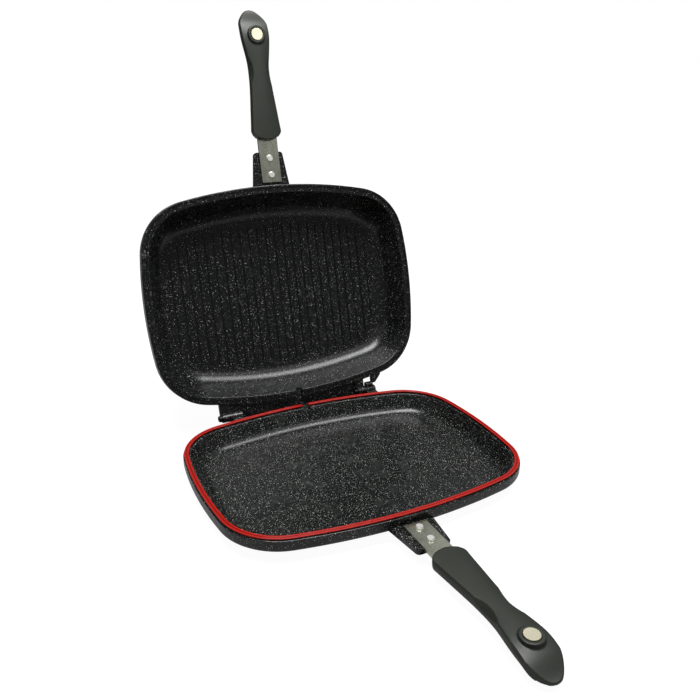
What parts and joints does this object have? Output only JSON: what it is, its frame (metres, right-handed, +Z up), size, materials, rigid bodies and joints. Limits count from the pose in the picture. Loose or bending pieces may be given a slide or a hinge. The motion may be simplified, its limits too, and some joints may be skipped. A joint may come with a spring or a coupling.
{
  "type": "double sided flip pan",
  "caption": "Rectangular frying pan and ribbed grill pan hinged together at the back, with a silicone seal and two magnetic catch handles, shown open.",
  "frame": {"origin": "centre of the lower pan's flat base, on the surface that it stands on", "axes": "+Z up; +Y towards the hinge at the back, -Y along the lower handle; +X to the right along the hinge"},
  "size_m": [0.362, 0.6544, 0.5008],
  "materials": {
    "granite_coating": "cast aluminium under a black non-stick coat with fine pale speckles, satin",
    "silicone": "soft satin red silicone",
    "stainless": "plain rolled stainless strap with faint scuffs",
    "rivet_metal": "bright domed rivet and screw heads",
    "phenolic": "matt moulded phenolic, dark grey",
    "nickel": "nickel plated steel disc",
    "magnet": "plain magnet, hidden under its cover",
    "pin_steel": "blackened steel pin with a rounded head"
  },
  "bodies": {
    "lower_half": {"lower_pan": "granite_coating", "seal": "silicone", "lower_tang": "stainless", "lower_inner_rivet": "rivet_metal", "lower_outer_rivet": "rivet_metal", "lower_grip": "phenolic", "lower_grip_screw": "rivet_metal", "lower_magnet_cover": "nickel", "lower_magnet": "magnet"},
    "upper_half": {"upper_pan": "granite_coating", "upper_tang": "stainless", "upper_inner_rivet": "rivet_metal", "upper_outer_rivet": "rivet_metal", "upper_grip": "phenolic", "upper_grip_screw": "rivet_metal", "upper_magnet_cover": "nickel", "upper_magnet": "magnet", "left_hinge_pin": "pin_steel", "right_hinge_pin": "pin_steel"}
  },
  "joints": [
    {"name": "pan_hinge", "type": "hinge", "parent": "lower_half", "child": "upper_half", "pos_m": [0, 0.14445, 0.027], "axis": [1, 0, 0], "range_deg": [0, 105.4]}
  ]
}
